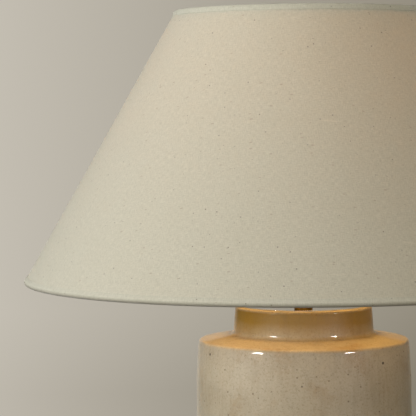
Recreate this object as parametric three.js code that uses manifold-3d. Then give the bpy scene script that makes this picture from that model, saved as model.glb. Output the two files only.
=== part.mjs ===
// A table lamp: a glazed stoneware jar that carries a brass stem, a socket with a bulb, a harp and a
// cone shade of linen. Millimetres, +Z up. The origin is the centre of the felt pad's underside.
import * as THREE from "three";
import { mergeVertices } from "three/addons/utils/BufferGeometryUtils.js";
import Module from "manifold-3d";

const wasm = await Module();
wasm.setup();

// ---- driving dimensions ----

const GAP = 0.3; // between pieces that touch
const ROUND = 40; // sides of the jar and of every ring of the shade
const SMALL_ROUND = 20; // sides of the socket, the bulb and the finial
const TINY_ROUND = 12; // sides of screws and wires

const JAR = {
  height: 360, // table to the rim
  bellyRadius: 88.6,
  neckRadius: 57.1, // just above the fillet at its foot
  rimRadius: 53.4, // where the rounding of the rim ends
  wall: 6,
  footRadius: 77,
  footInnerRadius: 68,
  ledge: 10, // underside of the ledge that the base plate pulls against
  mouthRadius: 46,
  seatRadius: 50.8, // the shallow seat round the mouth, for the neck cap
  seatDepth: 1.7,
};
const CAP = { radius: 50.4, thickness: 1.2 }; // the polished disc that closes the mouth
const FELT = { radius: 75, thickness: 2 };
const PLATE = { radius: 64, thickness: 2 };
const ROD = { radius: 5, bore: 3.2, clear: 5.4 };
const STEM = { radius: 7.5, height: 23.6 }; // the brass tube between jar and harp saddle
const INLET = { height: 26, bore: 3.4, hole: 6.3, flangeRadius: 9 };

const SHADE = {
  bottom: 380.1, // lowest point of the bottom hem
  top: 602,
  bottomRadius: 229.3, // of the outer face, carried on down to the lowest point
  topRadius: 102.9,
  fabric: 0.6,
  liner: 0.5,
  hem: 2.5, // outer radius of the rolled hem round its ring
  ringWire: 1.5,
};
const SPIDER = { height: 576.5, washerRadius: 13, hole: 5.6, thickness: 1.6, wire: 1.5 };
const HARP = { wire: 1.7, legX: 28.5, bowX: 57, legFoot: 404.3, legTop: 424, eye: 571.5, eyeRadius: 5.5 };
const SLEEVE = { radius: 4, bore: 2.15, length: 16, foot: 396.6 };
const STUD = { radius: 3.1, boss: 5.2, flange: 8, shank: 1.9, head: 3.6, top: 589 };
const SOCKET = { foot: 391.3, shellRadius: 16.3, capRadius: 17.6, lip: 413, mouth: 448, keyHeight: 420.5 };
const BULB = { tip: 429, capRadius: 13.1, neck: 451, radius: 30, widest: 507, top: 538, glass: 1 };

// ---- materials ----

function material(color, roughness, metalness = 0) {
  return new THREE.MeshStandardMaterial({ color, roughness, metalness });
}
const glaze = material(0xb7a182, 0.16);
const felt = material(0x4a463d, 0.95);
const steel = material(0xa9abac, 0.35, 1);
const brass = material(0xb08a3e, 0.28, 1);
const nickel = material(0xb8b6b0, 0.25, 1);
const blackPlastic = material(0x1c1a18, 0.4);
const rubber = material(0x26221e, 0.8);
const card = material(0x8c7a5c, 0.9);
const linen = material(0xcfc6ac, 0.9);
const styrene = material(0xf1ede2, 0.55);
const whiteWire = material(0xd9d5c9, 0.4, 0.6);
const frostedGlass = material(0xfff1d6, 0.35);
const aluminium = material(0xc2c2c0, 0.3, 1);

// ---- shape helpers ----

// A solid of revolution about +Z. The profile is [radius, height] points, which start and end on the
// axis or close on themselves, and run anticlockwise when radius is drawn to the right.
function turned(profile, sides = SMALL_ROUND) {
  const points = profile.map(([radius, height]) => new THREE.Vector2(radius, height));
  return new THREE.LatheGeometry(points, sides).rotateX(Math.PI / 2);
}

// A tube or a thick washer between two radii.
function sleeve(inner, outer, low, high, sides = SMALL_ROUND) {
  return turned([[inner, low], [outer, low], [outer, high], [inner, high], [inner, low]], sides);
}

function disc(radius, low, high, sides = SMALL_ROUND) {
  return turned([[0, low], [radius, low], [radius, high], [0, high]], sides);
}

function pointsOf(path, divisions) {
  return path.getPoints(divisions).map((point) => [point.x, point.y]);
}

function polygon(sides, radius) {
  const corners = [];
  for (let i = 0; i < sides; i += 1) {
    const angle = (i / sides) * 2 * Math.PI;
    corners.push(new THREE.Vector2(radius * Math.cos(angle), radius * Math.sin(angle)));
  }
  return new THREE.Shape(corners);
}

// A round wire along a curve.
function wire(curve, radius, steps, sides = 8) {
  return new THREE.ExtrudeGeometry(polygon(sides, radius), { steps, extrudePath: curve });
}

function hexNut(acrossCorners, hole, low, high) {
  const outline = polygon(6, acrossCorners / 2);
  outline.holes.push(new THREE.Path().absarc(0, 0, hole, 0, 2 * Math.PI));
  const depth = high - low;
  return new THREE.ExtrudeGeometry(outline, { depth, bevelEnabled: false, curveSegments: 8 })
    .translate(0, 0, low);
}

function box(low, high) {
  const size = high.map((value, axis) => value - low[axis]);
  const middle = high.map((value, axis) => (value + low[axis]) / 2);
  return new THREE.BoxGeometry(...size).translate(...middle);
}

// ---- cutting and joining ----

function solidOf(geometry) {
  const bare = geometry.clone();
  bare.deleteAttribute("normal");
  bare.deleteAttribute("uv");
  const merged = mergeVertices(bare, 1e-4);
  const vertProperties = merged.attributes.position.array;
  const triVerts = new Uint32Array(merged.index.array);
  return new wasm.Manifold(new wasm.Mesh({ numProp: 3, vertProperties, triVerts }));
}

function geometryOf(solid) {
  const mesh = solid.getMesh();
  const geometry = new THREE.BufferGeometry();
  geometry.setAttribute("position", new THREE.BufferAttribute(mesh.vertProperties, 3));
  geometry.setIndex(new THREE.BufferAttribute(mesh.triVerts, 1));
  geometry.computeVertexNormals();
  return geometry;
}

function cut(geometry, ...tools) {
  return geometryOf(tools.reduce((left, tool) => left.subtract(solidOf(tool)), solidOf(geometry)));
}

function join(geometry, ...others) {
  return geometryOf(others.reduce((left, other) => left.add(solidOf(other)), solidOf(geometry)));
}

function piece(name, geometry, look) {
  const mesh = new THREE.Mesh(geometry, look);
  mesh.name = name;
  return mesh;
}

function group(...children) {
  const made = new THREE.Group();
  made.add(...children);
  return made;
}

// ---- the jar and what clamps it to the rod ----

// From the foot's inner edge, up the outside to the mouth, then back down the cavity.
function jarProfile() {
  const foot = FELT.thickness + GAP;
  const outside = new THREE.Path();
  outside.moveTo(JAR.footInnerRadius, foot);
  outside.lineTo(JAR.footRadius, foot);
  outside.quadraticCurveTo(JAR.footRadius + 3, foot, JAR.footRadius + 4, foot + 4);
  outside.bezierCurveTo(87, 34, JAR.bellyRadius, 110, JAR.bellyRadius, JAR.height - 120);
  outside.bezierCurveTo(JAR.bellyRadius, JAR.height - 70, 88.6, JAR.height - 46, 86.4, JAR.height - 30.5);
  outside.quadraticCurveTo(86.1, JAR.height - 28.7, 83.4, JAR.height - 28);
  outside.lineTo(JAR.neckRadius + 3.6, JAR.height - 23.2);
  outside.quadraticCurveTo(JAR.neckRadius + 0.4, JAR.height - 22.4, JAR.neckRadius, JAR.height - 18.6);
  outside.lineTo(JAR.rimRadius + 2.8, JAR.height - 3.2);
  outside.quadraticCurveTo(JAR.rimRadius + 2.4, JAR.height, JAR.rimRadius, JAR.height);
  const seat = JAR.height - JAR.seatDepth;
  const belly = JAR.bellyRadius - JAR.wall;
  const cavity = [
    [JAR.seatRadius, JAR.height], [JAR.seatRadius, seat], [JAR.mouthRadius, seat],
    [JAR.mouthRadius, seat - 5], [50, seat - 9], [51.5, JAR.height - 28.5], [78, JAR.height - 35.5],
    [81, JAR.height - 42.5], [belly, JAR.height - 120], [belly, 110], [80.5, 45], [74, 17], [70, JAR.ledge + 6],
    [50, JAR.ledge + 6], [50, JAR.ledge], [JAR.footInnerRadius, JAR.ledge], [JAR.footInnerRadius, foot],
  ];
  return [...pointsOf(outside, 3), ...cavity];
}

// The cord inlet goes through the wall at the back, along +Y.
function inletTool(radius, from, to) {
  return disc(radius, from, to, 16).rotateX(-Math.PI / 2).translate(0, 0, INLET.height);
}

function jar() {
  return piece("jar", cut(turned(jarProfile(), ROUND), inletTool(INLET.hole, 60, 110)), glaze);
}

// A flanged bush. Its tube lines the hole and its flange lies against the barrel's outside.
function cordInletBush() {
  const outside = JAR.bellyRadius - 4.2;
  const profile = [
    [INLET.bore, -10], [INLET.hole - GAP, -10], [INLET.hole - GAP, 1.2], [INLET.flangeRadius, 1.2],
    [INLET.flangeRadius - 1, 3.4], [INLET.bore + 0.8, 3.4], [INLET.bore, 2.6], [INLET.bore, -10],
  ];
  const bush = piece("cord_inlet_bush", turned(profile, 16), rubber);
  bush.rotation.x = -Math.PI / 2;
  bush.position.set(0, outside + 1.2, INLET.height);
  return bush;
}

function clampParts() {
  const plateTop = JAR.ledge - GAP;
  const plateFoot = plateTop - PLATE.thickness;
  const capFoot = JAR.height - JAR.seatDepth + GAP;
  const underTop = capFoot - GAP;
  return group(
    piece("felt_pad", disc(FELT.radius, 0, FELT.thickness, ROUND), felt),
    piece("base_plate", sleeve(ROD.clear, PLATE.radius, plateFoot, plateTop), steel),
    piece("rod_lock_washer", sleeve(ROD.clear, 9, plateFoot - 1.2 - GAP, plateFoot - GAP, 16), steel),
    piece("rod_nut", hexNut(18, ROD.clear, FELT.thickness + GAP, plateFoot - 1.2 - 2 * GAP), brass),
    piece("rod", sleeve(ROD.bore, ROD.radius, FELT.thickness + GAP, SOCKET.foot + 5, 16), steel),
    piece("neck_cap", sleeve(ROD.clear, CAP.radius, capFoot, capFoot + CAP.thickness, ROUND), nickel),
    piece("top_rubber_washer", sleeve(ROD.clear, 12, underTop - 2, underTop, 16), rubber),
    piece("top_nut", hexNut(18, ROD.clear, underTop - 7, underTop - 2 - GAP), brass),
  );
}

// ---- the brass stem, the saddle and the socket ----

function stemParts() {
  const foot = JAR.height - JAR.seatDepth + CAP.thickness + 2 * GAP;
  const tubeTop = foot + STEM.height;
  return group(
    piece("stem_tube", sleeve(ROD.clear, STEM.radius, foot, tubeTop), brass),
    piece("stem_collar", turned([
      [ROD.clear, tubeTop + GAP], [9, tubeTop + GAP], [10.5, tubeTop + 1.2], [10.5, tubeTop + 2],
      [9.6, tubeTop + 2.3], [ROD.clear, tubeTop + 2.3], [ROD.clear, tubeTop + GAP],
    ]), brass),
  );
}

// A strip bent into a wide U. Each end narrows to a tongue that a harp leg stands on.
function harpSaddle(low) {
  const half = 0.7;
  const strip = new THREE.Shape();
  strip.moveTo(-HARP.legX - half, HARP.legFoot - GAP);
  strip.lineTo(-HARP.legX - half, low + 5);
  strip.quadraticCurveTo(-HARP.legX - half, low, -HARP.legX + 6, low);
  strip.lineTo(HARP.legX - 6, low);
  strip.quadraticCurveTo(HARP.legX + half, low, HARP.legX + half, low + 5);
  strip.lineTo(HARP.legX + half, HARP.legFoot - GAP);
  strip.lineTo(HARP.legX - half, HARP.legFoot - GAP);
  strip.lineTo(HARP.legX - half, low + 5.4);
  strip.quadraticCurveTo(HARP.legX - half, low + 1.4, HARP.legX - 6, low + 1.4);
  strip.lineTo(-HARP.legX + 6, low + 1.4);
  strip.quadraticCurveTo(-HARP.legX + half, low + 1.4, -HARP.legX + half, low + 5.4);
  strip.lineTo(-HARP.legX + half, HARP.legFoot - GAP);
  const width = 12;
  const bent = new THREE.ExtrudeGeometry(strip, { depth: width, bevelEnabled: false, curveSegments: 5 })
    .rotateX(Math.PI / 2).translate(0, width / 2, 0);
  const tools = [disc(ROD.clear, low - 2, low + 4, 16)];
  for (const side of [-1, 1]) {
    for (const edge of [-1, 1]) {
      const near = [side * HARP.legX - 3, edge > 0 ? 1.5 : -width, SLEEVE.foot - 2];
      const far = [side * HARP.legX + 3, edge > 0 ? width : -1.5, HARP.legFoot + 2];
      tools.push(box(near, far));
    }
  }
  return piece("harp_saddle", cut(bent, ...tools), brass);
}

function socketCap() {
  const foot = SOCKET.foot;
  const profile = [
    [ROD.clear, foot], [8.5, foot], [8.5, foot + 4.5], [12, foot + 6], [16, foot + 10.5],
    [SOCKET.capRadius, foot + 16.5], [SOCKET.capRadius, SOCKET.lip], [SOCKET.capRadius - 0.9, SOCKET.lip],
    [SOCKET.capRadius - 0.9, foot + 16.8], [15.1, foot + 11.3], [11.4, foot + 7.1], [7.5, foot + 5.5],
    [7.5, foot + 1], [ROD.clear, foot + 1], [ROD.clear, foot],
  ];
  return turned(profile);
}

// The slot that the switch shaft passes through, open at the shell's lower edge.
function keySlot() {
  return box([-4, -25, SOCKET.foot], [4, -5, SOCKET.keyHeight + 3.5]);
}

function socketShell() {
  const outer = SOCKET.shellRadius;
  const shellFoot = SOCKET.foot + 17;
  const profile = [
    [outer - 0.8, shellFoot], [outer, shellFoot], [outer, SOCKET.mouth - 8],
    [outer - 0.7, SOCKET.mouth - 7], [outer, SOCKET.mouth - 6], [outer, SOCKET.mouth - 1],
    [outer + 0.7, SOCKET.mouth], [outer - 0.1, SOCKET.mouth], [outer - 0.8, SOCKET.mouth - 1],
    [outer - 0.8, SOCKET.mouth - 6], [outer - 1.5, SOCKET.mouth - 7], [outer - 0.8, SOCKET.mouth - 8],
    [outer - 0.8, shellFoot],
  ];
  return cut(turned(profile), keySlot());
}

// The moulded core that holds the contacts, with a notch on each side for a terminal screw.
function socketCore(low, high) {
  const radius = 13.8;
  const notches = [-1, 1].map((side) => box(
    [side > 0 ? radius - 3.4 : -radius - 1, -4.5, low + 4],
    [side > 0 ? radius + 1 : -radius + 3.4, 4.5, low + 13],
  ));
  const keyway = disc(2.2, 5, 20, TINY_ROUND).rotateX(Math.PI / 2).translate(0, 0, SOCKET.keyHeight);
  return cut(disc(radius, low, high), ...notches, keyway);
}

function terminalScrew(name, side, height) {
  const screw = piece(name, turned([[0, 0], [2.9, 0], [2.9, 1.3], [2.2, 1.9], [0, 1.9]], TINY_ROUND), brass);
  screw.rotation.y = (side * Math.PI) / 2;
  screw.position.set(side * (13.8 - 3.4 + GAP), 0, height);
  return screw;
}

function socketParts() {
  const saddleLow = JAR.height + STEM.height + 2.7;
  const nutLow = saddleLow + 1.4 + GAP;
  const coreLow = SOCKET.foot + 13;
  const coreHigh = 427;
  const liner = cut(sleeve(14.3, 15.1, SOCKET.foot + 15.4, SOCKET.mouth - 8), keySlot());
  return group(
    harpSaddle(saddleLow),
    piece("saddle_nut", hexNut(16.5, ROD.clear, nutLow, SOCKET.foot - GAP), brass),
    piece("socket_cap", socketCap(), brass),
    piece("socket_shell", socketShell(), brass),
    piece("socket_insulator", liner, card),
    piece("socket_core", socketCore(coreLow, coreHigh), blackPlastic),
    piece("screw_shell", sleeve(13.4, 13.9, coreHigh + GAP, SOCKET.mouth - 1), aluminium),
    piece("centre_contact", disc(3.4, coreHigh + GAP, coreHigh + 1.6, TINY_ROUND), brass),
    terminalScrew("terminal_screw_live", 1, coreLow + 8.5),
    terminalScrew("terminal_screw_neutral", -1, coreLow + 8.5),
  );
}

// The turn key of the switch: a shaft into the core and a fluted knob, along -Y.
function switchKey() {
  const knob = turned([
    [0, 0], [1.7, 0], [1.7, 12], [6, 12], [6.6, 13], [6.6, 23], [5.6, 24.5], [0, 24.5],
  ], 16);
  const key = piece("switch_key", knob, blackPlastic);
  key.rotation.x = Math.PI / 2;
  key.position.set(0, -8, SOCKET.keyHeight);
  return key;
}

// ---- the bulb ----

function bulbGlass() {
  const foot = BULB.neck + GAP;
  const outside = new THREE.Path();
  outside.moveTo(12.4, foot);
  outside.lineTo(13.4, foot);
  outside.bezierCurveTo(14.2, foot + 14, BULB.radius, foot + 26, BULB.radius, BULB.widest);
  outside.bezierCurveTo(BULB.radius, BULB.widest + 17, 17, BULB.top, 0, BULB.top);
  const inside = new THREE.Path();
  const inner = BULB.radius - BULB.glass;
  inside.moveTo(0, BULB.top - BULB.glass);
  inside.bezierCurveTo(16.4, BULB.top - BULB.glass, inner, BULB.widest + 16.5, inner, BULB.widest);
  inside.bezierCurveTo(inner, foot + 26.4, 13.1, foot + 14, 12.4, foot);
  return turned([...pointsOf(outside, 4), ...pointsOf(inside, 4)]);
}

// The screw cap, with rounded ridges for its thread.
function bulbCap() {
  const profile = [[0, BULB.tip + 1.4], [7.5, BULB.tip + 1.4], [11.6, BULB.tip + 3.4]];
  const ridges = 4;
  for (let i = 0; i < ridges; i += 1) {
    const foot = BULB.tip + 4 + i * 3.63;
    profile.push([11.9, foot], [BULB.capRadius, foot + 1.3], [BULB.capRadius, foot + 2.3]);
  }
  profile.push([12.2, BULB.neck - 3], [13, BULB.neck - 1.5], [13, BULB.neck], [0, BULB.neck]);
  return turned(profile);
}

function bulbParts() {
  return group(
    piece("bulb_glass", bulbGlass(), frostedGlass),
    piece("bulb_cap", bulbCap(), nickel),
    piece("bulb_tip", disc(4.6, BULB.tip, BULB.tip + 1.1, TINY_ROUND), brass),
    piece("bulb_filament_post", turned([
      [0, BULB.neck + GAP], [8, BULB.neck + GAP], [4, BULB.neck + 12], [2.6, BULB.widest - 22],
      [2.6, BULB.widest + 8], [0, BULB.widest + 10],
    ], TINY_ROUND), frostedGlass),
  );
}

// ---- the harp ----

function harpBow() {
  const side = [
    [HARP.legX, HARP.legFoot], [HARP.legX, HARP.legTop - 10], [HARP.legX, HARP.legTop],
    [30.2, 433.5], [41, 449], [53, 472], [HARP.bowX, 500], [53.5, 529], [42, 553], [23, 567],
  ];
  const points = [
    ...side.map(([x, z]) => new THREE.Vector3(x, 0, z)),
    new THREE.Vector3(0, 0, HARP.eye),
    ...side.reverse().map(([x, z]) => new THREE.Vector3(-x, 0, z)),
  ];
  const bow = wire(new THREE.CatmullRomCurve3(points), HARP.wire, 44);
  const eye = disc(HARP.eyeRadius, HARP.eye - 1.1, HARP.eye + 1.1, 16);
  const hole = disc(STUD.shank + 0.4, HARP.eye - 4, HARP.eye + 4, 16);
  const flatAbove = disc(STUD.flange + GAP, HARP.eye + 1.1, HARP.eye + 6);
  const flatBelow = disc(STUD.head + GAP, HARP.eye - 6, HARP.eye - 1.1, 16);
  return piece("harp_bow", cut(join(bow, eye), hole, flatAbove, flatBelow), nickel);
}

function harpSleeve(name, side) {
  const low = SLEEVE.foot;
  const high = low + SLEEVE.length;
  const made = turned([
    [SLEEVE.bore, low], [SLEEVE.radius, low], [SLEEVE.radius, high - 3], [SLEEVE.radius - 1.2, high],
    [SLEEVE.bore, high], [SLEEVE.bore, low],
  ], TINY_ROUND);
  const ferrule = piece(name, made, nickel);
  ferrule.position.x = side * HARP.legX;
  return ferrule;
}

// The swivel stud: riveted through the harp's eye, it turns freely and carries the shade.
function swivelStud() {
  const seat = SPIDER.height - SPIDER.thickness / 2 - GAP;
  return piece("swivel_stud", turned([
    [0, HARP.eye - 3.2], [STUD.head - 1, HARP.eye - 3.2], [STUD.head, HARP.eye - 2.4],
    [STUD.head, HARP.eye - 1.5], [STUD.shank, HARP.eye - 1.5], [STUD.shank, HARP.eye + 2.1],
    [STUD.flange, HARP.eye + 2.1], [STUD.flange, seat], [STUD.boss, seat], [STUD.boss, seat + 1.7],
    [STUD.radius, seat + 1.7], [STUD.radius, STUD.top - 1], [STUD.radius - 1, STUD.top], [0, STUD.top],
  ], 16), nickel);
}

function finial() {
  const foot = SPIDER.height + SPIDER.thickness / 2 + GAP;
  const bore = STUD.radius + GAP;
  return piece("finial", turned([
    [bore, foot], [8.6, foot], [8.6, foot + 2], [6.4, foot + 3.4], [4.9, foot + 5.5], [5.6, foot + 8],
    [8, foot + 11], [9, foot + 14.6], [8.2, foot + 18.4], [5.8, foot + 21.4], [2.6, foot + 23.2],
    [0, foot + 23.6], [0, STUD.top + 1.5], [bore, STUD.top + 0.4], [bore, foot],
  ]), brass);
}

// ---- the shade ----

// The ring centres lie on a line parallel to the outer face. Along and across are measured from a ring
// centre: along runs up the slope, and across runs outwards, square to the face.
const slopeLength = Math.hypot(SHADE.bottomRadius - SHADE.topRadius, SHADE.top - SHADE.bottom);
const slopeR = -(SHADE.bottomRadius - SHADE.topRadius) / slopeLength;
const slopeZ = (SHADE.top - SHADE.bottom) / slopeLength;
const faceOffset = SHADE.hem - 0.6 - GAP;

function ringCentre(height) {
  const onFace = height + faceOffset * -slopeR;
  const radius = SHADE.bottomRadius + ((onFace - SHADE.bottom) * slopeR) / slopeZ;
  return [radius - faceOffset * slopeZ, height];
}
const lowRing = ringCentre(SHADE.bottom + SHADE.hem);
const highRing = ringCentre(SHADE.top - SHADE.hem);

function offset([radius, height], along, across) {
  return [radius + along * slopeR + across * slopeZ, height + along * slopeZ - across * slopeR];
}

// One layer of the cone wall, between the two rings.
function coneLayer(inner, outer) {
  const clear = SHADE.ringWire + GAP;
  return turned([
    offset(lowRing, clear, inner), offset(lowRing, clear, outer), offset(highRing, -clear, outer),
    offset(highRing, -clear, inner), offset(lowRing, clear, inner),
  ], ROUND);
}

function ring([radius, height]) {
  const section = [];
  for (let i = 0; i <= 6; i += 1) {
    const angle = (i / 6) * 2 * Math.PI;
    section.push([radius + SHADE.ringWire * Math.cos(angle), height + SHADE.ringWire * Math.sin(angle)]);
  }
  return turned(section, ROUND);
}

// The rolled hem: a strip of the fabric that goes round the ring and back up both faces of the wall.
// Away is 1 where the wall runs up from the ring, and -1 where it runs down.
function hem(centre, away) {
  const outer = SHADE.hem;
  const inner = SHADE.hem - 0.6;
  const outerLeg = 3.2 * away;
  const innerLeg = 6 * away;
  const bend = 3;
  const around = (radius, from, to) => {
    const points = [];
    for (let i = 0; i <= bend; i += 1) {
      const angle = from + ((to - from) * i) / bend;
      points.push(offset(centre, -away * radius * Math.sin(angle), radius * Math.cos(angle)));
    }
    return points;
  };
  const section = [
    offset(centre, outerLeg, outer), offset(centre, outerLeg, inner), ...around(inner, 0, Math.PI),
    offset(centre, innerLeg, -inner), offset(centre, innerLeg, -outer), ...around(outer, Math.PI, 0),
    offset(centre, outerLeg, outer),
  ];
  return turned(away > 0 ? section : section.reverse(), ROUND);
}

// A spider arm runs out level from the washer, then climbs to the hem and meets it square on.
function spiderArm(name, angle) {
  const tip = offset(highRing, -2.5, -SHADE.hem - 0.4);
  const before = offset(highRing, -2.5, -SHADE.hem - 4.5);
  const points = [
    [SPIDER.washerRadius + 0.4, SPIDER.height], [45, SPIDER.height], [76, SPIDER.height],
    [88, SPIDER.height + 5], before, tip,
  ].map(([x, z]) => new THREE.Vector3(x, 0, z));
  const arm = piece(name, wire(new THREE.CatmullRomCurve3(points), SPIDER.wire, 14), whiteWire);
  arm.rotation.z = angle;
  return arm;
}

function shadeParts() {
  const washerLow = SPIDER.height - SPIDER.thickness / 2;
  const washer = sleeve(SPIDER.hole, SPIDER.washerRadius, washerLow, washerLow + SPIDER.thickness);
  const arms = ["back", "left", "right"].map((side, i) => (
    spiderArm("spider_arm_" + side, Math.PI / 2 + (i * 2 * Math.PI) / 3)
  ));
  return group(
    piece("shade_fabric", coneLayer(faceOffset - SHADE.fabric, faceOffset), linen),
    piece("shade_liner", coneLayer(0, SHADE.liner), styrene),
    piece("bottom_ring", ring(lowRing), whiteWire),
    piece("top_ring", ring(highRing), whiteWire),
    piece("bottom_hem", hem(lowRing, 1), linen),
    piece("top_hem", hem(highRing, -1), linen),
    piece("spider_washer", washer, whiteWire),
    ...arms,
  );
}

// ---- the lamp ----

export default group(
  group(jar(), cordInletBush(), clampParts()),
  group(stemParts(), socketParts(), switchKey()),
  bulbParts(),
  group(harpBow(), harpSleeve("harp_sleeve_left", -1), harpSleeve("harp_sleeve_right", 1)),
  group(swivelStud(), finial(), shadeParts()),
);
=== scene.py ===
"""The looks of a table lamp: a glazed stoneware jar, brass fittings, a lit bulb, and a linen shade on a harp.

Shapes are written in millimetres and made in metres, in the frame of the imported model.
"""

import math
import random

import bmesh
import bpy
from mathutils import Matrix, Vector


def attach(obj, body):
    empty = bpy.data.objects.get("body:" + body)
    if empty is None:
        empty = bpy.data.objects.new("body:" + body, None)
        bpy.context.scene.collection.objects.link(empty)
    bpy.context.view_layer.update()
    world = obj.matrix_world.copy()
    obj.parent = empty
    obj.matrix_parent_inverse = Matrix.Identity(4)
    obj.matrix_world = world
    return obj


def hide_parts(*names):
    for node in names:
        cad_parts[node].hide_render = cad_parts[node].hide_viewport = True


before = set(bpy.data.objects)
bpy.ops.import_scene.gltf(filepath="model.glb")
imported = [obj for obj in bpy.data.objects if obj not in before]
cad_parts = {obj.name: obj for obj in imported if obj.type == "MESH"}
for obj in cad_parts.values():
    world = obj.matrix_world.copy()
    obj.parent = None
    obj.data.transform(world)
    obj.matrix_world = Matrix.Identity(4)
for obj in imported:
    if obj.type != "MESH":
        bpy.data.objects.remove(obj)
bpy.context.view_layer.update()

MM = 0.001
TAU = 2 * math.pi

# The fittings, as in the CAD: the rod's hole, the harp's wire and where its legs stand, and the cord's inlet.
ROD_HOLE = 5.4
HARP_WIRE, HARP_LEG = 1.7, 28.5
INLET_HEIGHT = 26

# The shade, as in the CAD. IN and UP are the wall's direction up its slope. HEM and RING are the radii of a
# rolled hem and of the wire inside it, STRIP is the hem's thickness, and FACE is the distance from the middle
# of a ring to the wall's outer face.
BOTTOM, TOP = 380.1, 602
BOTTOM_RADIUS, TOP_RADIUS = 229.3, 102.9
SLOPE = math.hypot(BOTTOM_RADIUS - TOP_RADIUS, TOP - BOTTOM)
IN = (TOP_RADIUS - BOTTOM_RADIUS) / SLOPE
UP = (TOP - BOTTOM) / SLOPE
HEM, RING, STRIP = 2.5, 1.5, 0.6
FACE = HEM - STRIP - 0.3
APEX_TO_BOTTOM = BOTTOM_RADIUS / -IN


# ---- mesh helpers ----


def add_mesh(name, points, faces, look, sharp=35):
    """A smooth-shaded object from points in millimetres. Edges bent by more than sharp degrees stay crisp."""
    mesh = bpy.data.meshes.new(name)
    mesh.from_pydata([[c * MM for c in point] for point in points], [], faces)
    mesh.validate()
    mesh.shade_smooth()
    mesh.set_sharp_from_angle(angle=math.radians(sharp))
    mesh.materials.append(look)
    made = bpy.data.objects.new(name, mesh)
    bpy.context.scene.collection.objects.link(made)
    return made


def rounded(corners, closed=False, steps=4):
    """A profile with its corners rounded. A corner is (radius, height) or (radius, height, rounding)."""
    count = len(corners)
    profile = []
    for i, corner in enumerate(corners):
        here = Vector(corner[:2])
        rounding = corner[2] if len(corner) > 2 else 0
        if rounding == 0 or (not closed and i in (0, count - 1)):
            profile.append(tuple(here))
            continue
        to_last = Vector(corners[i - 1][:2]) - here
        to_next = Vector(corners[(i + 1) % count][:2]) - here
        half = max(to_last.angle(to_next) / 2, 0.05)
        reach = min(rounding / math.tan(half), 0.48 * to_last.length, 0.48 * to_next.length)
        start = here + to_last.normalized() * reach
        end = here + to_next.normalized() * reach
        for k in range(steps + 1):
            t = k / steps
            point = start * (1 - t) ** 2 + here * 2 * t * (1 - t) + end * t * t
            profile.append(tuple(point))
    return profile


def revolve(profile, sides=96, shift=None, sheet=False):
    """Points and faces of a profile turned about the Z axis.

    It starts and ends on the axis or closes on itself. shift(angle, radius, height) gives an extra radius.
    A sheet is left open at both edges.
    """
    points, rings = [], []
    for radius, height in profile:
        ring = []
        for k in range(sides if radius > 1e-6 else 1):
            angle = TAU * k / sides
            wide = radius + (shift(angle, radius, height) if shift and radius > 1e-6 else 0)
            ring.append(len(points))
            points.append((wide * math.cos(angle), wide * math.sin(angle), height))
        rings.append(ring)
    pairs = list(zip(rings, rings[1:]))
    if profile[0][0] > 1e-6 and not sheet:
        pairs.append((rings[-1], rings[0]))
    faces = []
    for low, high in pairs:
        for k in range(sides):
            face = []
            for ring, step in ((low, k), (low, k + 1), (high, k + 1), (high, k)):
                index = ring[step % len(ring)]
                if index not in face:
                    face.append(index)
            if len(face) > 2:
                faces.append(face)
    return points, faces


def turned(name, profile, look, sides=96, shift=None, sharp=35):
    return add_mesh(name, *revolve(profile, sides, shift), look, sharp)


def smooth_path(corners, steps=8):
    """Points of a smooth curve through the corners, steps to each stretch."""
    corners = [Vector(corner) for corner in corners]
    ends = [2 * corners[0] - corners[1]] + corners + [2 * corners[-1] - corners[-2]]
    path = []
    for a, b, c, d in zip(ends, ends[1:], ends[2:], ends[3:]):
        for k in range(steps):
            t = k / steps
            path.append(0.5 * (2 * b + (c - a) * t + (2 * a - 5 * b + 4 * c - d) * t**2
                               + (3 * b - a - 3 * c + d) * t**3))
    path.append(corners[-1])
    return path


def swept(path, radius, sides=16, flatten=None, tip=0.5):
    """Points and faces of a wire along a path, with rounded tips of tip times its radius.

    flatten(point) gives the section's (width, height) there as shares of the radius.
    """
    path = [Vector(point) for point in path]
    along = [(b - a).normalized() for a, b in zip(path, path[1:])]
    headings = [along[0]] + [(a + b).normalized() for a, b in zip(along, along[1:])] + [along[-1]]
    across = headings[0].orthogonal().normalized()
    sections = []
    for i, (point, heading) in enumerate(zip(path, headings)):
        across = (across - heading * across.dot(heading)).normalized()
        sections.append((point, heading, across, 1))
    reach = radius * tip
    if reach:
        first, last = sections[0], sections[-1]
        inset = [(0.0, 0.55), (0.3, 0.86)]
        sections[0] = (first[0] + first[1] * reach, *first[1:])
        sections[-1] = (last[0] - last[1] * reach, *last[1:])
        for share, wide in reversed(inset):
            sections.insert(0, (first[0] + first[1] * reach * share, first[1], first[2], wide))
            sections.append((last[0] - last[1] * reach * share, last[1], last[2], wide))
    points = []
    for point, heading, side, wide in sections:
        up = heading.cross(side)
        w, h = flatten(point) if flatten else (1, 1)
        for k in range(sides):
            angle = TAU * k / sides
            offset = side * math.cos(angle) * w + up * math.sin(angle) * h
            points.append(point + offset * radius * wide)
    faces = [list(range(sides))[::-1]]
    for i in range(len(sections) - 1):
        for k in range(sides):
            a, b = i * sides + k, i * sides + (k + 1) % sides
            faces.append([a, b, b + sides, a + sides])
    faces.append([len(points) - sides + k for k in range(sides)])
    return points, faces


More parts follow.
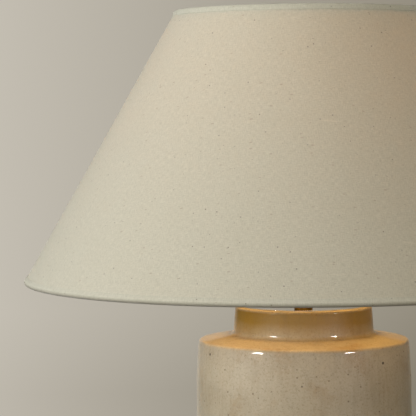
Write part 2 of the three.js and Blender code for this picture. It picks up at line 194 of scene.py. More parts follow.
def prism(outline, low, high, bevel=0.3):
    """Points and faces of an outline in XY, raised from low to high, with bevelled edges."""
    middle = sum((Vector(p) for p in outline), Vector((0, 0))) / len(outline)
    points, faces = [], []
    count = len(outline)
    for height, inset in ((low, bevel), (low + bevel, 0), (high - bevel, 0), (high, bevel)):
        for corner in outline:
            away = Vector(corner) - middle
            spot = middle + away * (1 - inset / away.length)
            points.append((spot.x, spot.y, height))
    faces.append(list(range(count))[::-1])
    for i in range(3):
        for k in range(count):
            a, b = i * count + k, i * count + (k + 1) % count
            faces.append([a, b, b + count, a + count])
    faces.append([3 * count + k for k in range(count)])
    return points, faces


def cut(target, *tools):
    """Cuts the tools out of the target and removes them."""
    for tool in tools:
        modifier = target.modifiers.new("cut", "BOOLEAN")
        modifier.operation = "DIFFERENCE"
        modifier.solver = "EXACT"
        modifier.object = tool
        bpy.context.view_layer.objects.active = target
        bpy.ops.object.modifier_apply(modifier=modifier.name)
        bpy.data.objects.remove(tool)
    return target


def place(made, matrix):
    """Moves a new piece's mesh, so that its object stays at the origin."""
    offset = matrix.copy()
    offset.translation *= MM
    made.data.transform(offset)
    return made


# ---- material helpers ----


def colour(red, green, blue):
    """A scene colour from three display values, 0 to 255."""
    def linear(value):
        value /= 255
        return value / 12.92 if value <= 0.04045 else ((value + 0.055) / 1.055) ** 2.4
    return (linear(red), linear(green), linear(blue), 1)


def node(tree, kind, inputs=None, **settings):
    """A shader node. inputs maps a socket's name or number to a value or to another node's socket."""
    made = tree.nodes.new("ShaderNode" + kind)
    for key, value in settings.items():
        setattr(made, key, value)
    for key, value in (inputs or {}).items():
        if isinstance(value, bpy.types.NodeSocket):
            tree.links.new(value, made.inputs[key])
        else:
            made.inputs[key].default_value = value
    return made


def material(name, **sockets):
    """A Principled material: its node tree, its shader and itself. Underscores in socket names are spaces."""
    made = bpy.data.materials.new(name)
    made.use_nodes = True
    shader = made.node_tree.nodes["Principled BSDF"]
    for key, value in sockets.items():
        shader.inputs[key.replace("_", " ")].default_value = value
    return made, made.node_tree, shader


def place_of(tree):
    return node(tree, "TexCoord").outputs["Object"]


def noise(tree, where, scale, detail=3, roughness=0.5):
    inputs = {"Vector": where, "Scale": scale, "Detail": detail, "Roughness": roughness}
    return node(tree, "TexNoise", inputs).outputs[0]


def spots(tree, where, scale, size, share=1.0):
    """1 inside small round spots, 0 outside.

    size is their largest radius in cells, and share is how many cells have one.
    """
    cells = node(tree, "TexVoronoi", {"Vector": where, "Scale": scale})
    chance = node(tree, "SeparateColor", {0: cells.outputs["Color"]}).outputs[0]
    limit = spread(tree, chance, 1 - share, 1.0, 0.0, size)
    return spread(tree, math_node(tree, "SUBTRACT", limit, cells.outputs["Distance"]), 0, size * 0.4)


def math_node(tree, operation, a, b=0.0):
    return node(tree, "Math", {0: a, 1: b}, operation=operation).outputs[0]


def spread(tree, value, low, high, start=0.0, end=1.0):
    """value taken from low..high to start..end, and held there."""
    inputs = {"Value": value, "From Min": low, "From Max": high, "To Min": start, "To Max": end}
    return node(tree, "MapRange", inputs).outputs[0]


def blend(tree, share, a, b, kind="MIX"):
    return node(tree, "MixRGB", {0: share, 1: a, 2: b}, blend_type=kind).outputs[0]


def stretched(tree, where, x, y, z=1.0):
    return node(tree, "Mapping", {"Vector": where, "Scale": (x, y, z)}).outputs[0]


def bump(tree, shader, height, distance, strength=1.0):
    inputs = {"Height": height, "Distance": distance, "Strength": strength}
    last = shader.inputs["Normal"]
    if last.is_linked:
        inputs["Normal"] = last.links[0].from_socket
    tree.links.new(node(tree, "Bump", inputs).outputs[0], last)


def paint(tree, shader, **sockets):
    for key, value in sockets.items():
        tree.links.new(value, shader.inputs[key.replace("_", " ")])


# ---- materials ----


def glaze_material():
    """A clear gloss over oatmeal clay, with iron specks, rusty clouds, a faint crackle and a brown neck."""
    made, tree, shader = material("glaze", Roughness=0.5, IOR=1.5, Specular_IOR_Level=0.15, Coat_Weight=0.65,
                                  Coat_Roughness=0.014)
    where = place_of(tree)
    cloud = noise(tree, where, 16, 5, 0.6)
    body = blend(tree, spread(tree, cloud, 0.32, 0.68), colour(192, 180, 155), colour(210, 200, 177))
    rust = noise(tree, where, 34, 4, 0.62)
    body = blend(tree, spread(tree, rust, 0.54, 0.72, 0, 0.5), body, colour(170, 134, 84))
    grain = noise(tree, where, 620, 3, 0.7)
    body = blend(tree, spread(tree, grain, 0.52, 0.72, 0, 0.45), body, colour(128, 106, 74))
    pale = noise(tree, where, 480, 2, 0.6)
    body = blend(tree, spread(tree, pale, 0.58, 0.75, 0, 0.35), body, colour(224, 214, 190))
    height = node(tree, "SeparateXYZ", {0: where}).outputs[2]
    # The barrel is painted darker towards its foot: painted shade where less light falls low down.
    body = blend(tree, spread(tree, height, 0.325, 0.285, 0, 0.3), body, colour(150, 134, 107))
    neck = math_node(tree, "ADD", height, spread(tree, cloud, 0.3, 0.7, -0.0025, 0.0025))
    brown = math_node(tree, "MULTIPLY", spread(tree, neck, 0.334, 0.351, 0, 0.88),
                      spread(tree, height, 0.3575, 0.3592, 1, 0.25))
    body = blend(tree, brown, body, colour(162, 130, 30))
    drips = noise(tree, stretched(tree, where, 1, 1, 0.12), 260, 2, 0.5)
    body = blend(tree, spread(tree, drips, 0.45, 0.75, 0, 0.16), body, colour(140, 112, 74))
    crackle = node(tree, "TexVoronoi", {"Vector": where, "Scale": 260.0}, feature="DISTANCE_TO_EDGE")
    line = spread(tree, crackle.outputs["Distance"], 0.0, 0.05, 0.08, 0.0)
    body = blend(tree, line, body, colour(112, 84, 54))
    small = spots(tree, where, 200, 0.2, 0.5)
    body = blend(tree, math_node(tree, "MULTIPLY", small, 0.6), body, colour(92, 66, 38))
    large = spots(tree, where, 80, 0.12, 0.45)
    body = blend(tree, math_node(tree, "MULTIPLY", large, 0.85), body, colour(48, 34, 22))
    paint(tree, shader, Base_Color=body)
    bump(tree, shader, noise(tree, where, 26, 2, 0.4), 0.0003, 0.4)
    return made


def cloth_colour(tree, where):
    """Cream yarn with husks and dark flecks: its colour, and the height of the weave."""
    warp = noise(tree, stretched(tree, where, 1700, 260), 1, 2, 0.6)
    weft = noise(tree, stretched(tree, where, 260, 1700), 1, 2, 0.6)
    yarn = math_node(tree, "ADD", warp, weft)
    cloud = noise(tree, where, 30, 3)
    tone = blend(tree, spread(tree, yarn, 0.72, 1.28), colour(201, 196, 176), colour(224, 219, 200))
    tone = blend(tree, spread(tree, cloud, 0.3, 0.7, 0, 0.2), tone, colour(210, 204, 182))
    husk = spots(tree, stretched(tree, where, 130, 330), 1, 0.22, 0.5)
    tone = blend(tree, math_node(tree, "MULTIPLY", husk, 0.35), tone, colour(150, 118, 84))
    fleck = spots(tree, stretched(tree, where, 220, 220), 1, 0.16, 0.6)
    tone = blend(tree, math_node(tree, "MULTIPLY", fleck, 0.6), tone, colour(96, 66, 40))
    slub = spread(tree, noise(tree, stretched(tree, where, 30, 420), 1, 1), 0.72, 0.8, 0, 0.35)
    tone = blend(tree, slub, tone, colour(232, 224, 204))
    wave = node(tree, "SeparateXYZ", {0: stretched(tree, where, TAU / 0.0011, TAU / 0.0011)})
    over = math_node(tree, "SINE", wave.outputs[0])
    under = math_node(tree, "SINE", wave.outputs[1])
    weave = math_node(tree, "MULTIPLY", over, under)
    height = math_node(tree, "ADD", math_node(tree, "MULTIPLY", weave, 0.35), yarn)
    return tone, height


def linen_material(name, glow=0, glow_colour=None, painted_shade=0):
    """Woven linen. glow lets the lamp's light through, and painted_shade paints shade on the lowest roll's
    underside.
    """
    made, tree, shader = material(name, Roughness=0.85, Sheen_Weight=0.25, Sheen_Roughness=0.5,
                                  Specular_IOR_Level=0.2)
    where = node(tree, "UVMap", uv_map="cloth").outputs[0]
    tone, height = cloth_colour(tree, where)
    if painted_shade:
        # The lowest roll's underside is painted darker: painted shade where the roll turns away from the
        # light.
        level = node(tree, "SeparateXYZ", {0: place_of(tree)}).outputs[2]
        under = spread(tree, level, (BOTTOM + 3.8) * MM, (BOTTOM + 1.2) * MM, 0, painted_shade)
        tone = blend(tree, under, tone, colour(110, 97, 72))
    paint(tree, shader, Base_Color=tone)
    bump(tree, shader, height, 0.00035, 0.6)
    if glow:
        through = node(tree, "BsdfTranslucent", {"Color": blend(tree, 1.0, tone, glow_colour, "MULTIPLY")})
        mixed = node(tree, "MixShader", {0: glow, 1: shader.outputs[0], 2: through.outputs[0]})
        tree.links.new(mixed.outputs[0], tree.nodes["Material Output"].inputs["Surface"])
    return made


def styrene_material():
    """The shade's smooth white lining, which glows."""
    made, tree, shader = material("styrene", Roughness=0.45)
    where = place_of(tree)
    tone = blend(tree, noise(tree, where, 40, 3), colour(214, 202, 176), colour(226, 216, 192))
    paint(tree, shader, Base_Color=tone)
    bump(tree, shader, noise(tree, where, 300, 2), 0.0001, 0.3)
    through = node(tree, "BsdfTranslucent", {"Color": tone})
    mixed = node(tree, "MixShader", {0: 0.4, 1: shader.outputs[0], 2: through.outputs[0]})
    tree.links.new(mixed.outputs[0], tree.nodes["Material Output"].inputs["Surface"])
    return made


def metal_material(name, tone, dull, roughness, scratched=0.35):
    """Metal whose polish and colour change a little, with fine scratches."""
    made, tree, shader = material(name, Metallic=1.0)
    where = place_of(tree)
    cloud = noise(tree, where, 55, 4, 0.6)
    scratch = noise(tree, where, 900, 3, 0.6)
    paint(tree, shader, Base_Color=blend(tree, spread(tree, cloud, 0.35, 0.75, 0, 0.35), tone, dull),
          Roughness=spread(tree, math_node(tree, "ADD", cloud, scratch), 0.6, 1.4, roughness * 0.7,
                           roughness * 1.5))
    bump(tree, shader, scratch, 0.00004, scratched)
    return made


def plastic_material(name, tone, roughness, texture=900.0):
    made, tree, shader = material(name, IOR=1.5)
    where = place_of(tree)
    grain = noise(tree, where, texture, 2)
    light = tuple(min(1, c * 1.5 + 0.004) for c in tone[:3]) + (1,)
    cloud = spread(tree, noise(tree, where, 90, 4), 0.4, 0.8)
    paint(tree, shader, Base_Color=blend(tree, cloud, tone, light),
          Roughness=spread(tree, grain, 0.3, 0.7, roughness * 0.8, roughness * 1.25))
    bump(tree, shader, grain, 0.00005, 0.4)
    return made


def fibre_material(name, dark, light):
    """Felt or pressed card."""
    made, tree, shader = material(name, Roughness=0.95, Sheen_Weight=0.3)
    where = place_of(tree)
    fibres = noise(tree, stretched(tree, where, 1, 1, 3), 1400, 3, 0.7)
    paint(tree, shader, Base_Color=blend(tree, fibres, dark, light))
    bump(tree, shader, fibres, 0.0004, 0.8)
    return made


def bulb_material():
    """Frosted glass that glows, dimmer and redder towards its neck."""
    made, tree, shader = material("frosted_glass", Roughness=0.35, Emission_Strength=6.0)
    where = place_of(tree)
    height = node(tree, "SeparateXYZ", {0: where}).outputs[2]
    heat = spread(tree, height, 0.455, 0.505, 0.25, 1.0)
    frost = noise(tree, where, 700, 2)
    paint(tree, shader, Base_Color=blend(tree, frost, colour(250, 238, 214), colour(255, 247, 230)),
          Emission_Color=blend(tree, heat, colour(255, 138, 48), colour(255, 205, 128)))
    bump(tree, shader, frost, 0.00005, 0.3)
    return made


def floor_material():
    made, tree, shader = material("floor", Roughness=0.75)
    where = place_of(tree)
    paint(tree, shader, Base_Color=blend(tree, noise(tree, where, 5, 4), colour(196, 189, 177),
                                         colour(204, 198, 187)))
    bump(tree, shader, noise(tree, where, 260, 3), 0.0004, 0.2)
    return made


glaze = glaze_material()
linen = linen_material("linen", 0.043, (1.0, 0.58, 0.02, 1))
# The hems' linen has painted shade under its lowest roll.
hem_linen = linen_material("hem_linen", painted_shade=0.5)
styrene = styrene_material()
brass = metal_material("brass", colour(212, 164, 84), colour(168, 118, 52), 0.2)
aged_brass = metal_material("aged_brass", colour(160, 128, 56), colour(112, 86, 36), 0.38)
steel = metal_material("steel", colour(168, 169, 170), colour(128, 128, 126), 0.36)
nickel = metal_material("nickel", colour(206, 203, 196), colour(168, 164, 156), 0.2)
mirror_nickel = metal_material("polished_nickel", colour(226, 224, 220), colour(208, 205, 199), 0.02,
                               scratched=0.02)
aluminium = metal_material("aluminium", colour(206, 207, 208), colour(172, 172, 172), 0.26)
white_wire = plastic_material("white_paint", colour(214, 209, 196), 0.35, 500.0)
black_plastic = plastic_material("black_plastic", colour(24, 22, 21), 0.22)
rubber = plastic_material("rubber", colour(38, 34, 31), 0.6)
card = fibre_material("card", colour(118, 96, 66), colour(150, 128, 94))
felt = fibre_material("felt", colour(58, 54, 46), colour(84, 79, 68))
frosted = bulb_material()


# ---- the jar ----


def jar_profile():
    """Up the outside from the foot, over the rim to the cap's seat, and down the cavity."""
    outside = rounded([
        (68, 2.3), (77, 2.3, 1.2), (81, 6.3, 6), (85.4, 60, 160), (88.2, 150, 300), (88.6, 235, 500),
        (88.4, 298, 300), (87.3, 320, 60), (86.15, 332.4, 3.6), (57.7, 337.5, 3.6),
        (56.1, 360, 2.4), (50.8, 360, 1), (50.8, 358.3), (46, 358.3, 0.6), (46, 353, 0.6), (50, 349, 2),
        (51.5, 331.5, 6), (78, 324.5, 8),
        (82.4, 240, 60), (82.4, 110, 60), (74, 17, 4), (50, 16), (50, 10), (68, 10),
    ], closed=True, steps=9)
    dense = []
    for here, there in zip(outside, outside[1:] + outside[:1]):
        length = math.dist(here, there)
        pieces = max(1, round(length / 6)) if max(here[0], there[0]) > 83 else 1
        for k in range(pieces):
            t = k / pieces
            dense.append((here[0] + (there[0] - here[0]) * t, here[1] + (there[1] - here[1]) * t))
    return dense


def hand_thrown(angle, radius, height):
    """The throwing rings and slight unevenness of the outer wall."""
    if radius < 80 or height < 20:
        return 0
    fade = min(1, (height - 20) / 30, max(0, (330 - height) / 12))
    rings = 0.10 * math.sin(height / 3.9 + 0.5 * math.sin(angle) + math.sin(height / 31))
    uneven = 0.12 * math.sin(2 * angle + height / 60) + 0.06 * math.sin(5 * angle - height / 45)
    return fade * (rings + uneven)


def make_jar():
    jar = turned("stoneware_jar", jar_profile(), glaze, 192, hand_thrown, sharp=50)
    inlet = turned("inlet_hole", [(0, 0), (6.3, 0), (6.3, 60), (0, 60)], glaze, 48)
    place(inlet, Matrix.Translation((0, 60, INLET_HEIGHT)) @ Matrix.Rotation(-math.pi / 2, 4, "X"))
    return cut(jar, inlet)


def make_neck_cap():
    """The polished disc in the jar's mouth, which lies a touch low at the back."""
    disc = turned("mouth_disc", rounded([
        (ROD_HOLE, 358.5), (50.4, 358.5, 0.1), (50.4, 359.5, 0.2), (49.8, 359.5), (ROD_HOLE, 359.5),
    ], closed=True), mirror_nickel, 192)
    for vertex in disc.data.vertices:
        if vertex.co.z > 359 * MM:
            vertex.co.z -= 0.017 * vertex.co.y
    return disc


def make_bush():
    profile = rounded([
        (3.4, -9.5, 0.4), (6, -9.5, 0.5), (6, 1.3), (9, 1.3, 0.6), (9, 2.4, 0.6), (5.6, 3.3, 0.8),
        (4.8, 4.6, 0.7), (3.4, 4.4, 0.5),
    ], closed=True)
    bush = turned("cord_bush", profile, rubber, 64)
    return place(bush, Matrix.Translation((0, 85.6, INLET_HEIGHT)) @ Matrix.Rotation(-math.pi / 2, 4, "X"))


def make_felt():
    return turned("felt_disc", rounded([(0, 0), (75, 0, 0.8), (75, 2, 0.8), (0, 2)]), felt, 160)


# ---- the stem, the saddle and the socket ----


def make_stem():
    return turned("stem", rounded([
        (ROD_HOLE, 360.1), (7.5, 360.1, 0.3), (7.5, 383.7, 0.3), (ROD_HOLE, 383.7),
    ], closed=True, steps=3), aged_brass, 96)


def make_collar():
    return turned("collar", rounded([
        (ROD_HOLE, 384), (9, 384, 0.3), (10.5, 385.2, 0.6), (10.5, 386, 0.4), (9.4, 386.3),
        (ROD_HOLE, 386.3),
    ], closed=True, steps=3), aged_brass, 96)


def make_saddle():
    """A strip bent into a wide U, whose ends narrow to the tongues that the harp stands on."""
    low, leg, foot = 386.6, HARP_LEG, 404
    path = rounded([(-leg, foot), (-leg, low + 0.7, 6), (leg, low + 0.7, 6), (leg, foot)], steps=10)
    dense = []
    for here, there in zip(path, path[1:]):
        pieces = max(1, round(math.dist(here, there) / 1.6))
        dense += [Vector(here).lerp(Vector(there), k / pieces) for k in range(pieces)]
    dense.append(Vector(path[-1]))
    points, faces = [], []
    for i, here in enumerate(dense):
        ahead = (dense[min(i + 1, len(dense) - 1)] - dense[max(i - 1, 0)]).normalized()
        normal = Vector((-ahead.y, ahead.x))
        width = 6 if here.y < 394 else max(1.5, 6 - (here.y - 394) * 3)
        edge = 0.25
        for y, t in ((-width, -0.7 + edge), (-width, 0.7 - edge), (-width + edge, 0.7), (width - edge, 0.7),
                     (width, 0.7 - edge), (width, -0.7 + edge), (width - edge, -0.7), (-width + edge, -0.7)):
            spot = here + normal * t
            points.append((spot.x, y, spot.y))
    count = len(dense)
    for i in range(count - 1):
        for k in range(8):
            a, b = i * 8 + k, i * 8 + (k + 1) % 8
            faces.append([a, b, b + 8, a + 8])
    faces += [list(range(8))[::-1], [(count - 1) * 8 + k for k in range(8)]]
    saddle = add_mesh("saddle", points, faces, brass)
    fix_normals(saddle)
    hole = turned("saddle_hole", [(0, low - 3), (ROD_HOLE, low - 3), (ROD_HOLE, low + 5), (0, low + 5)],
                  brass, 48)
    return cut(saddle, hole)


def fix_normals(made):
    shape = bmesh.new()
    shape.from_mesh(made.data)
    bmesh.ops.recalc_face_normals(shape, faces=shape.faces)
    shape.to_mesh(made.data)
    shape.free()


def make_nut(name, across, low, high, look):
    """A hexagonal nut with bevelled corners and a round hole."""
    outline = []
    for k in range(6):
        for turn in (-0.09, 0.09):
            angle = TAU * k / 6 + turn
            outline.append((across / 2 * math.cos(angle), across / 2 * math.sin(angle)))
    nut = add_mesh(name, *prism(outline, low, high), look, 25)
    hole = turned(name + "_hole", [(0, low - 3), (ROD_HOLE, low - 3), (ROD_HOLE, high + 3), (0, high + 3)],
                  look, 48)
    return cut(nut, hole)


def make_socket_cap():
    foot = 391.3
    return turned("cap_dome", rounded([
        (ROD_HOLE, foot), (8.5, foot, 0.5), (8.5, foot + 4.5, 1.2), (12, foot + 6, 4), (16, foot + 10.5, 6),
        (17.6, foot + 16.5, 3), (17.6, 412.4, 0.3), (17.6, 413, 0.3), (16.8, 413, 0.3),
        (16.7, foot + 16.8, 3), (15.1, foot + 11.3, 6), (11.4, foot + 7.1, 3), (7.5, foot + 5.5, 1),
        (7.5, foot + 1), (ROD_HOLE, foot + 1),
    ], closed=True), brass, 128)


def make_socket_shell():
    """The brass sleeve with its pressed bead, slotted for the switch shaft."""
    outer, foot, mouth = 16.3, 408.3, 448
    profile = rounded([
        (outer - 0.8, foot), (outer, foot, 0.2), (outer, 432, 1), (outer - 0.8, 433.5, 1), (outer, 435, 1),
        (outer, 439, 1), (outer - 0.8, 440.5, 1), (outer, 442, 1), (outer, mouth - 2, 1.5),
        (outer + 0.7, mouth, 0.2), (outer, mouth, 0.3), (outer - 0.8, mouth - 1.8, 1),
        (outer - 0.8, 442.2, 1), (outer - 1.6, 440.5, 1),
        (outer - 0.8, 438.8, 1), (outer - 0.8, 435.2, 1), (outer - 1.6, 433.5, 1), (outer - 0.8, 431.8, 1),
    ], closed=True)
    shell = turned("shell", profile, brass, 128)
    outline = [(-3.9, -30), (3.9, -30), (3.9, -8), (-3.9, -8)]
    slot = add_mesh("slot_tool", *prism(outline, 400, 423.8, 0.01), brass)
    return cut(shell, slot)


def make_switch():
    """A turned key: a steel shaft and a black knob with flutes."""
    def flutes(angle, radius, height):
        return -0.35 * (0.5 + 0.5 * math.cos(16 * angle)) if radius > 5.4 and 13 < height < 22.6 else 0
    knob = turned("knob", rounded([
        (0, 12), (6, 12, 0.8), (6.6, 13.4, 0.8), (6.6, 17), (6.6, 20), (6.6, 22.4, 1.6), (4.6, 24.5, 1.5),
        (2, 24.1, 1), (0, 24.1),
    ]), black_plastic, 192, flutes)
    shaft = turned("knob_shaft", rounded([(0, 0), (1.7, 0, 0.3), (1.7, 12), (0, 12)]), nickel, 32)
    turn = Matrix.Translation((0, -8, 420.5)) @ Matrix.Rotation(math.pi / 2, 4, "X")
    return place(knob, turn), place(shaft, turn)


# ---- the bulb ----


def make_bulb():
    """The envelope: one smooth curve from its neck over its crown."""
    foot, top = 451.3, 538
    side = [(13.2, foot + 0.8), (13.9, foot + 9), (17.4, foot + 21), (23.9, foot + 33), (29.1, foot + 45),
            (30.2, foot + 56), (28.2, foot + 67), (22.4, foot + 77), (12.6, foot + 84.4)]
    steps = 6
    corners = [(x, 0, z) for x, z in side] + [(0, 0, top)] + [(-x, 0, z) for x, z in side[::-1]]
    curve = smooth_path(corners, steps)[:len(side) * steps]
    outside = [(0, foot), (12.4, foot)] + [(point.x, point.z) for point in curve] + [(0, top)]
    return turned("bulb_envelope", outside, frosted, 128)


def make_bulb_cap():
    """The screw cap, with a rounded thread that climbs round it."""
    low, high, pitch = 432.6, 448.4, 3.63
    count = 64
    rows = [(0, 430.4), (6.8, 430.4), (9.6, 431.2), (11.9, low)]
    rows += [(12.5, low + (high - low) * (k + 0.5) / count) for k in range(count)]
    rows += [(12.2, high), (13.0, 449.4), (13.1, 450.2), (12.9, 451), (0, 451)]

    def thread(angle, radius, height):
        if not low < height < high:
            return 0
        fade = min(1, (height - low) / 1.5, (high - height) / 1.5)
        return -0.28 + 0.58 * fade * math.sin(TAU * height / pitch - angle)

    return turned("cap_thread", rows, nickel, 96, thread, sharp=40)


def make_bulb_tip():
    return turned("cap_tip", rounded([(0, 429), (3.4, 429, 0.6), (4.6, 430.1), (0, 430.1)]), brass, 48)


# ---- the harp ----


def make_harp():
    """A bent wire, straight where the ferrules slide, whose top is hammered flat and drilled for the stud."""
    side = [(HARP_LEG, 404.3), (HARP_LEG, 414), (HARP_LEG, 424), (30.2, 433.5), (41, 449), (53, 472),
            (57, 500), (53.5, 529), (42, 553), (23, 567)]
    corners = [(x, 0, z) for x, z in side] + [(0, 0, 571.5)] + [(-x, 0, z) for x, z in side[::-1]]

    def hammered(point):
        near = max(0, 1 - abs(point.x) / 9) if point.z > 560 else 0
        near = near * near * (3 - 2 * near)
        return 1 + near * 2.1, 1 - near * 0.4

    points, faces = swept(smooth_path(corners, 10), HARP_WIRE, 20, hammered, tip=0.3)
    harp = add_mesh("harp_wire", points, faces, nickel)
    fix_normals(harp)
    hole = turned("eye_hole", [(0, 560), (2.3, 560), (2.3, 580), (0, 580)], nickel, 40)
    return cut(harp, hole)


def make_ferrule(name, side):
    foot = 396.6
    ferrule = turned(name, rounded([
        (2.15, foot), (4, foot, 0.5), (4, foot + 12.6, 1.5), (2.9, foot + 16, 0.5), (2.15, foot + 16),
    ], closed=True), nickel, 64)
    return place(ferrule, Matrix.Translation((side * HARP_LEG, 0, 0)))


def make_stud():
    """The swivel stud, with rolled threads on its upper shank."""
    rows = rounded([
        (0, 568.3), (2.8, 568.3, 0.8), (3.6, 569.4, 0.5), (3.6, 570.2), (1.9, 570.2), (1.9, 573.6),
        (7.8, 573.6, 0.4), (7.8, 575.3, 0.4), (5.2, 575.3), (5.2, 577, 0.3), (2.9, 577.2),
    ])
    rows += [(2.8, 577.6 + 0.12 * k) for k in range(86)]
    rows += [(2.7, 588.2), (2.2, 588.9), (0, 589)]

    def thread(angle, radius, height):
        if not 577.5 < height < 588:
            return 0
        return 0.22 * math.sin(TAU * height / 0.94 - angle)

    return turned("stud", rows, nickel, 48, thread, sharp=50)


def make_finial():
    foot = 577.6
    return turned("finial_knob", rounded([
        (3.4, foot), (8.4, foot, 0.6), (8.4, foot + 1.9, 0.8), (6.3, foot + 3, 1), (5, foot + 5.5, 2.5),
        (5.4, foot + 8, 2), (6.6, foot + 8.8, 0.4), (6.4, foot + 9.6, 0.4), (8.4, foot + 12, 4),
        (9.1, foot + 16, 5), (7.4, foot + 20.6, 5), (3.4, foot + 22, 1.2), (3, foot + 23.4, 0.9),
        (0, foot + 23.6), (0, 590.5), (3.4, 589.4),
    ], steps=6), brass, 96)


# ---- the shade ----


def ring_centre(height):
    on_face = height - FACE * IN
    radius = BOTTOM_RADIUS + (on_face - BOTTOM) * IN / UP
    return (radius - FACE * UP, height)


LOW_RING = ring_centre(BOTTOM + HEM)
HIGH_RING = ring_centre(TOP - HEM)


def beside(centre, along, across):
    """A point of the wall's section: along runs up the slope and across runs outwards."""
    return (centre[0] + along * IN + across * UP, centre[1] + along * UP - across * IN)


def lay_cloth(made):
    """Gives the cone its flat cut's coordinates in metres, so that the threads run as they were woven."""
    layer = made.data.uv_layers.new(name="cloth")
    for polygon in made.data.polygons:
        turns = []
        for loop in polygon.loop_indices:
            point = made.data.vertices[made.data.loops[loop].vertex_index].co
            turn = math.atan2(point.x, -point.y)
            if turns and abs(turn - turns[0]) > math.pi:
                turn += math.copysign(TAU, turns[0])
            turns.append(turn)
            reach = APEX_TO_BOTTOM * MM - (point.z - BOTTOM * MM) / UP
            layer.data[loop].uv = (reach * math.sin(-turn * IN), reach * math.cos(turn * IN))


def cone_sheet(name, across, clear, look, rows, sides, shift):
    """One layer of the wall, as a sheet that stops clear of the rings' centres."""
    low = beside(LOW_RING, clear, across)
    high = beside(HIGH_RING, -clear, across)
    profile = [(low[0] + (high[0] - low[0]) * k / rows, low[1] + (high[1] - low[1]) * k / rows)
               for k in range(rows + 1)]
    made = add_mesh(name, *revolve(profile, sides, shift, sheet=True), look)
    lay_cloth(made)
    return made


def taut_cloth(angle, radius, height):
    """Linen glued to its lining lies almost true, apart from the overlap of its seam at the back."""
    past_seam = (angle - math.pi / 2) * radius
    seam = 0.45 if 0 < past_seam < 12 else 0
    uneven = 0.05 * math.sin(7 * angle + height / 40) + 0.04 * math.sin(13 * angle - height / 25)
    return seam + uneven


def hem_profile(centre, away, leg, inner_leg):
    """The rolled strip round a ring. away is 1 where the wall runs up from the ring and -1 where it hangs."""
    inner = HEM - STRIP
    bend = 14
    outer_side = [beside(centre, leg * away, FACE + 0.12), beside(centre, leg * away, FACE + 0.34),
                  beside(centre, leg * 0.6 * away, HEM - 0.28), beside(centre, leg * 0.3 * away, HEM - 0.08)]
    round_outer, round_inner = [], []
    for k in range(bend + 1):
        turn = math.pi * k / bend
        round_outer.append(beside(centre, -away * HEM * math.sin(turn), HEM * math.cos(turn)))
        round_inner.append(beside(centre, -away * inner * math.sin(turn), inner * math.cos(turn)))
    inner_side = [beside(centre, (inner_leg - 0.3) * away, -HEM),
                  beside(centre, inner_leg * away, -HEM + 0.15), beside(centre, inner_leg * away, -inner)]
    profile = outer_side + round_outer + inner_side + round_inner[::-1]
    return profile[::-1] if away > 0 else profile


def make_hem(name, centre, away, leg, inner_leg):
    def pulled(angle, radius, height):
        return -0.12 * (0.5 + 0.5 * math.sin(90 * angle + 3 * math.sin(7 * angle))) * random_share(angle)
    hem = turned(name, hem_profile(centre, away, leg, inner_leg), hem_linen, 360, pulled, sharp=60)
    fix_normals(hem)
    lay_cloth(hem)
    return hem


rng = random.Random(11)
bumps = [rng.random() for _ in range(360)]


def random_share(angle):
    place_on_ring = angle / TAU * len(bumps)
    low = int(place_on_ring) % len(bumps)
    share = place_on_ring - int(place_on_ring)
    return bumps[low] * (1 - share) + bumps[(low + 1) % len(bumps)] * share


def make_ring(name, centre):
    profile = [(centre[0] + RING * math.cos(TAU * k / 12), centre[1] + RING * math.sin(TAU * k / 12))
               for k in range(12)]
    return turned(name, profile, white_wire, 160)


def make_arm(name, azimuth):
    tip = beside(HIGH_RING, -2.2, -HEM - 0.35)
    before = beside(HIGH_RING, -2.2, -HEM - 4.2)
    corners = [(12.6, 576.5), (45, 576.5), (76, 576.5), (88, 581.5), before, tip]
    path = smooth_path([(x, 0, z) for x, z in corners], 8)
    arm = add_mesh(name, *swept(path, 1.5, 16, tip=0.3), white_wire)
    fix_normals(arm)
    return place(arm, Matrix.Rotation(math.radians(azimuth), 4, "Z"))


def make_washer():
    return turned("spider_plate", rounded([
        (5.6, 575.7, 0.2), (13, 575.7, 0.5), (13, 577.3, 0.5), (5.6, 577.3, 0.2),
    ], closed=True), white_wire, 96)


# ---- putting the lamp together ----


def use(made, body, slot, *nodes):
    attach(made, body)
    if nodes:
        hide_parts(*nodes)
    return made


use(make_jar(), "base", "glazed_stoneware", "jar")
use(make_neck_cap(), "base", "nickel", "neck_cap")
use(make_bush(), "base", "rubber", "cord_inlet_bush")
use(make_felt(), "base", "felt", "felt_pad")
use(make_stem(), "base", "brass", "stem_tube")
use(make_collar(), "base", "brass", "stem_collar")
use(make_saddle(), "base", "brass", "harp_saddle")
use(make_nut("saddle_locknut", 16.5, 388.3, 391, brass), "base", "brass", "saddle_nut")
use(make_socket_cap(), "base", "brass", "socket_cap")
use(make_socket_shell(), "base", "brass", "socket_shell")
knob, shaft = make_switch()
use(knob, "switch", "black_plastic", "switch_key")
use(shaft, "switch", "nickel")
envelope = use(make_bulb(), "bulb", "lit_glass", "bulb_glass", "bulb_filament_post")
use(make_bulb_cap(), "bulb", "nickel", "bulb_cap")
use(make_bulb_tip(), "bulb", "brass", "bulb_tip")
use(make_harp(), "base", "nickel", "harp_bow")
use(make_ferrule("ferrule_l", -1), "ferrule_left", "nickel", "harp_sleeve_left")
use(make_ferrule("ferrule_r", 1), "ferrule_right", "nickel", "harp_sleeve_right")
use(make_stud(), "stud", "nickel", "swivel_stud")
use(make_finial(), "finial", "brass", "finial")

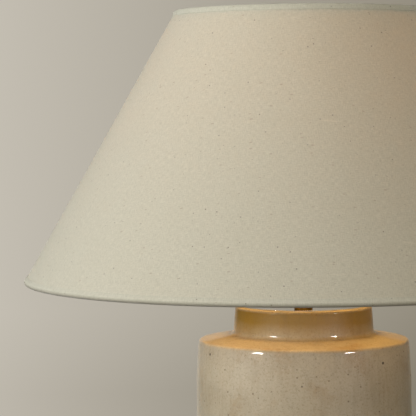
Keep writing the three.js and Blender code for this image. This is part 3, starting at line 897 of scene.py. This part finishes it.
cloth = use(cone_sheet("linen_cone", FACE, 0.4, linen, 40, 320, taut_cloth), "shade", "linen", "shade_fabric")
lining = use(cone_sheet("lining_cone", 0.2, 1.8, styrene, 24, 160, None), "shade", "styrene", "shade_liner")
low_hem = use(make_hem("low_hem", LOW_RING, 1, 3.4, 6), "shade", "linen", "bottom_hem")
high_hem = use(make_hem("high_hem", HIGH_RING, -1, 3.4, 6), "shade", "linen", "top_hem")
use(make_ring("low_ring", LOW_RING), "shade", "painted_wire", "bottom_ring")
use(make_ring("high_ring", HIGH_RING), "shade", "painted_wire", "top_ring")
use(make_washer(), "shade", "painted_wire", "spider_washer")
for side, azimuth in (("back", 90), ("left", 210), ("right", 330)):
    use(make_arm("arm_" + side, azimuth), "shade", "painted_wire", "spider_arm_" + side)

# The lining and the frosted bulb pass the lamp's light, so they cast no shadow in it.
for made in (lining, envelope):
    made.visible_shadow = False

carried = {
    "base_plate": steel, "rod_lock_washer": steel, "rod": steel, "rod_nut": brass, "top_nut": brass,
    "top_rubber_washer": rubber, "socket_insulator": card, "socket_core": black_plastic,
    "screw_shell": aluminium, "centre_contact": brass,
    "terminal_screw_live": brass, "terminal_screw_neutral": brass,
}
for name, look in carried.items():
    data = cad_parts[name].data
    data.materials.clear()
    data.materials.append(look)


# ---- the studio ----

floor_profile = [(0, -2), (1200, -2), (1200, -0.4), (400, -0.4), (0, -0.4)]
floor = add_mesh("studio_floor", *revolve(floor_profile, 128), floor_material())
floor.visible_diffuse = False  # it throws no light back up


def studio_light(name, kind, spot, aim, energy, tone, **settings):
    data = bpy.data.lights.new(name, kind)
    data.energy = energy
    data.color = tone
    for key, value in settings.items():
        setattr(data, key, value)
    made = bpy.data.objects.new(name, data)
    bpy.context.scene.collection.objects.link(made)
    made.location = spot
    made.rotation_euler = (Vector(aim) - Vector(spot)).to_track_quat("-Z", "Y").to_euler()
    return made


def around(azimuth, elevation, distance, height=0.36):
    """A point seen from the lamp at an azimuth (0 is the front, positive is the right) and an elevation."""
    a, e = math.radians(azimuth), math.radians(elevation)
    return (distance * math.cos(e) * math.sin(a), -distance * math.cos(e) * math.cos(a),
            height + distance * math.sin(e))


middle = (0, 0, 0.4)
key = studio_light("key", "AREA", around(-68, 11, 2.6, 0.4), middle, 50, (0.93, 0.97, 1.0), shape="RECTANGLE",
                   size=1.6, size_y=1.1)
key.visible_glossy = False
for name, azimuth in (("glint_left", -50), ("glint_right", 51)):
    glint = studio_light(name, "AREA", around(azimuth, 9.7, 2.2, 0.33), (0, 0, 0.33), 36, (1.0, 0.98, 0.95),
                         shape="RECTANGLE", size=0.42, size_y=0.26)
    glint.visible_diffuse = False
studio_light("bulb_light", "POINT", (0, 0, 0.507), middle, 0.65, (1.0, 0.66, 0.25), shadow_soft_size=0.028)

# The wall that the camera sees is brighter than the room that lights the lamp from all round.
world = bpy.data.worlds.new("studio")
bpy.context.scene.world = world
world.use_nodes = True
sky = world.node_tree
way = node(sky, "SeparateXYZ", {0: node(sky, "TexCoord").outputs["Generated"]})
# The wall is painted lighter on the left and darker to the right, and darker still low on the right: painted
# light and a painted shadow on the wall.
wall = blend(sky, spread(sky, way.outputs[0], -0.16, 0.075), colour(197, 191, 179), colour(143, 136, 121))
painted_shadow_low_right = math_node(sky, "MULTIPLY", spread(sky, way.outputs[2], -0.1, -0.14),
                      spread(sky, way.outputs[0], -0.2, 0.07, 0.04, 0.4))
wall = blend(sky, painted_shadow_low_right, wall, colour(108, 100, 84))
above = spread(sky, way.outputs[2], -0.3, 0.1, 0.15, 1)
front = math_node(sky, "MULTIPLY", spread(sky, way.outputs[1], 0, -1), above)
right = spread(sky, way.outputs[0], 0, 1)
room = blend(sky, 1.0, blend(sky, front, (0, 0, 0, 1), (0.95, 0.90, 0.81, 1)),
             blend(sky, right, (0, 0, 0, 1), (0.17, 0.17, 0.145, 1)), "ADD")
room = blend(sky, spread(sky, way.outputs[1], 0.75, 0.97), room, wall)
seen = node(sky, "LightPath").outputs["Is Camera Ray"]
sky.links.new(blend(sky, seen, room, wall), sky.nodes["Background"].inputs["Color"])

camera_data = bpy.data.cameras.new("camera")
camera_data.lens = 173.5
camera_data.sensor_width = 36
camera = bpy.data.objects.new("camera", camera_data)
bpy.context.scene.collection.objects.link(camera)
pan, tilt, roll = math.radians(2.712), math.radians(90 - 2.804), math.radians(-0.46)
camera.matrix_world = (
    Matrix.Translation((0, -1.645, 0.521))
    @ Matrix.Rotation(pan, 4, "Z")
    @ Matrix.Rotation(tilt, 4, "X")
    @ Matrix.Rotation(roll, 4, "Z")
)
bpy.context.scene.camera = camera
bpy.context.scene.view_settings.view_transform = "Standard"
